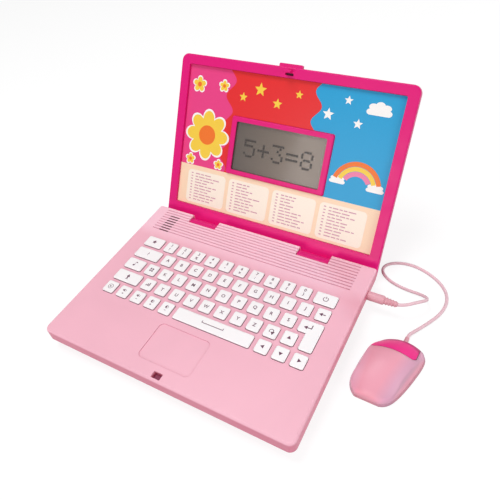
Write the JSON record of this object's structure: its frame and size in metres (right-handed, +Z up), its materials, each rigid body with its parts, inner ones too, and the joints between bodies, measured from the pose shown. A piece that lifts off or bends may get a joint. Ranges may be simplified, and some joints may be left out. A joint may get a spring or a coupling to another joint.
{
  "type": "toy laptop computer with mouse",
  "caption": "Children's toy laptop with a hinged lid, a small display, white keys in a pink deck and a corded mouse plugged into its right side.",
  "frame": {"origin": "on the desk under the middle of the laptop's base", "axes": "+X to the user's right along the keyboard, +Y away from the user towards the hinge, +Z up"},
  "size_m": [0.298, 0.268, 0.1547],
  "materials": {
    "deck_plastic": "satin pale pink moulding",
    "lid_plastic": "glossy magenta moulding",
    "key_plastic": "satin white caps with printed legends",
    "print_sheet": "printed plastic sheet",
    "clear_lens": "clear window",
    "lcd_glass": "grey display glass",
    "circuit_board": "green circuit board",
    "rubber_mat": "grey silicone",
    "steel": "zinc plated steel",
    "cell_sleeve": "plain dark sleeve",
    "speaker_frame": "black frame and cone",
    "black_plastic": "black moulding",
    "mouse_plastic": "satin pink moulding",
    "button_plastic": "magenta moulding",
    "cord_rubber": "soft pink sheath",
    "plug_rubber": "soft pink overmould",
    "brass_pin": "plated plug pin"
  },
  "bodies": {
    "base": {"top_case": "deck_plastic", "bottom_case": "deck_plastic", "battery_door": "deck_plastic", "batteries": "cell_sleeve", "battery_contacts": "steel", "main_board": "circuit_board", "key_mat": "rubber_mat", "speaker": "speaker_frame", "mouse_socket": "black_plastic", "case_screws": "steel", "hinge_pins": "steel"},
    "lid": {"lid_bezel": "lid_plastic", "lid_back": "lid_plastic", "hinge_arms": "lid_plastic", "print_panel": "print_sheet", "lcd_window": "clear_lens", "lcd_module": "lcd_glass", "lcd_board": "circuit_board", "lid_screws": "steel"},
    "mouse": {"mouse_top": "mouse_plastic", "mouse_base": "mouse_plastic", "mouse_gland": "plug_rubber", "mouse_board": "circuit_board", "mouse_lens": "clear_lens", "mouse_screw": "steel", "mouse_plug": "plug_rubber", "plug_pin": "brass_pin", "plug_relief": "plug_rubber", "mouse_cord": "cord_rubber"},
    "mouse_press": {"mouse_button": "button_plastic"},
    "activity_key_press": {"activity_key": "key_plastic"},
    "power_key_press": {"power_key": "key_plastic"},
    "help_key_press": {"help_key": "key_plastic"},
    "delete_key_press": {"delete_key": "key_plastic"},
    "music_key_press": {"music_key": "key_plastic"},
    "mode_key_press": {"mode_key": "key_plastic"},
    "enter_key_press": {"enter_key": "key_plastic"},
    "capitals_key_press": {"capitals_key": "key_plastic"},
    "level_key_press": {"level_key": "key_plastic"},
    "turn_key_press": {"turn_key": "key_plastic"},
    "up_key_press": {"up_key": "key_plastic"},
    "demo_key_press": {"demo_key": "key_plastic"},
    "volume_up_key_press": {"volume_up_key": "key_plastic"},
    "volume_down_key_press": {"volume_down_key": "key_plastic"},
    "contrast_up_key_press": {"contrast_up_key": "key_plastic"},
    "contrast_down_key_press": {"contrast_down_key": "key_plastic"},
    "space_key_press": {"space_key": "key_plastic"},
    "left_key_press": {"left_key": "key_plastic"},
    "down_key_press": {"down_key": "key_plastic"},
    "right_key_press": {"right_key": "key_plastic"},
    "digit_keys_press": {"digit_keys": "key_plastic"},
    "letter_keys_a_to_j_press": {"letter_keys_a_to_j": "key_plastic"},
    "letter_keys_k_to_s_press": {"letter_keys_k_to_s": "key_plastic"},
    "letter_keys_t_to_z_press": {"letter_keys_t_to_z": "key_plastic"}
  },
  "joints": [
    {"name": "lid_hinge", "type": "hinge", "parent": "base", "child": "lid", "pos_m": [0, 0.08, 0.0148], "axis": [1, 0, 0], "range_deg": [0, 120]},
    {"name": "activity_key_push", "type": "slide", "parent": "base", "child": "activity_key_press", "axis": [0, 0, -1], "range_m": [0, 0.0012], "stiffness_N_per_m": 400, "springref_m": -0.001},
    {"name": "power_key_push", "type": "slide", "parent": "base", "child": "power_key_press", "axis": [0, 0, -1], "range_m": [0, 0.0012], "stiffness_N_per_m": 400, "springref_m": -0.001},
    {"name": "help_key_push", "type": "slide", "parent": "base", "child": "help_key_press", "axis": [0, 0, -1], "range_m": [0, 0.0012], "stiffness_N_per_m": 400, "springref_m": -0.001},
    {"name": "delete_key_push", "type": "slide", "parent": "base", "child": "delete_key_press", "axis": [0, 0, -1], "range_m": [0, 0.0012], "stiffness_N_per_m": 400, "springref_m": -0.001},
    {"name": "music_key_push", "type": "slide", "parent": "base", "child": "music_key_press", "axis": [0, 0, -1], "range_m": [0, 0.0012], "stiffness_N_per_m": 400, "springref_m": -0.001},
    {"name": "mode_key_push", "type": "slide", "parent": "base", "child": "mode_key_press", "axis": [0, 0, -1], "range_m": [0, 0.0012], "stiffness_N_per_m": 400, "springref_m": -0.001},
    {"name": "enter_key_push", "type": "slide", "parent": "base", "child": "enter_key_press", "axis": [0, 0, -1], "range_m": [0, 0.0012], "stiffness_N_per_m": 400, "springref_m": -0.001},
    {"name": "capitals_key_push", "type": "slide", "parent": "base", "child": "capitals_key_press", "axis": [0, 0, -1], "range_m": [0, 0.0012], "stiffness_N_per_m": 400, "springref_m": -0.001},
    {"name": "level_key_push", "type": "slide", "parent": "base", "child": "level_key_press", "axis": [0, 0, -1], "range_m": [0, 0.0012], "stiffness_N_per_m": 400, "springref_m": -0.001},
    {"name": "turn_key_push", "type": "slide", "parent": "base", "child": "turn_key_press", "axis": [0, 0, -1], "range_m": [0, 0.0012], "stiffness_N_per_m": 400, "springref_m": -0.001},
    {"name": "up_key_push", "type": "slide", "parent": "base", "child": "up_key_press", "axis": [0, 0, -1], "range_m": [0, 0.0012], "stiffness_N_per_m": 400, "springref_m": -0.001},
    {"name": "demo_key_push", "type": "slide", "parent": "base", "child": "demo_key_press", "axis": [0, 0, -1], "range_m": [0, 0.0012], "stiffness_N_per_m": 400, "springref_m": -0.001},
    {"name": "volume_up_key_push", "type": "slide", "parent": "base", "child": "volume_up_key_press", "axis": [0, 0, -1], "range_m": [0, 0.0012], "stiffness_N_per_m": 400, "springref_m": -0.001},
    {"name": "volume_down_key_push", "type": "slide", "parent": "base", "child": "volume_down_key_press", "axis": [0, 0, -1], "range_m": [0, 0.0012], "stiffness_N_per_m": 400, "springref_m": -0.001},
    {"name": "contrast_up_key_push", "type": "slide", "parent": "base", "child": "contrast_up_key_press", "axis": [0, 0, -1], "range_m": [0, 0.0012], "stiffness_N_per_m": 400, "springref_m": -0.001},
    {"name": "contrast_down_key_push", "type": "slide", "parent": "base", "child": "contrast_down_key_press", "axis": [0, 0, -1], "range_m": [0, 0.0012], "stiffness_N_per_m": 400, "springref_m": -0.001},
    {"name": "space_key_push", "type": "slide", "parent": "base", "child": "space_key_press", "axis": [0, 0, -1], "range_m": [0, 0.0012], "stiffness_N_per_m": 400, "springref_m": -0.001},
    {"name": "left_key_push", "type": "slide", "parent": "base", "child": "left_key_press", "axis": [0, 0, -1], "range_m": [0, 0.0012], "stiffness_N_per_m": 400, "springref_m": -0.001},
    {"name": "down_key_push", "type": "slide", "parent": "base", "child": "down_key_press", "axis": [0, 0, -1], "range_m": [0, 0.0012], "stiffness_N_per_m": 400, "springref_m": -0.001},
    {"name": "right_key_push", "type": "slide", "parent": "base", "child": "right_key_press", "axis": [0, 0, -1], "range_m": [0, 0.0012], "stiffness_N_per_m": 400, "springref_m": -0.001},
    {"name": "digit_keys_push", "type": "slide", "parent": "base", "child": "digit_keys_press", "axis": [0, 0, -1], "range_m": [0, 0.0012], "stiffness_N_per_m": 400, "springref_m": -0.001},
    {"name": "letter_keys_a_to_j_push", "type": "slide", "parent": "base", "child": "letter_keys_a_to_j_press", "axis": [0, 0, -1], "range_m": [0, 0.0012], "stiffness_N_per_m": 400, "springref_m": -0.001},
    {"name": "letter_keys_k_to_s_push", "type": "slide", "parent": "base", "child": "letter_keys_k_to_s_press", "axis": [0, 0, -1], "range_m": [0, 0.0012], "stiffness_N_per_m": 400, "springref_m": -0.001},
    {"name": "letter_keys_t_to_z_push", "type": "slide", "parent": "base", "child": "letter_keys_t_to_z_press", "axis": [0, 0, -1], "range_m": [0, 0.0012], "stiffness_N_per_m": 400, "springref_m": -0.001},
    {"name": "plug_pull", "type": "slide", "parent": "base", "child": "mouse", "axis": [1, 0, 0], "range_m": [0, 0.02]},
    {"name": "mouse_button_push", "type": "slide", "parent": "mouse", "child": "mouse_press", "axis": [0, 0, -1], "range_m": [0, 0.0008], "stiffness_N_per_m": 500, "springref_m": -0.001}
  ]
}
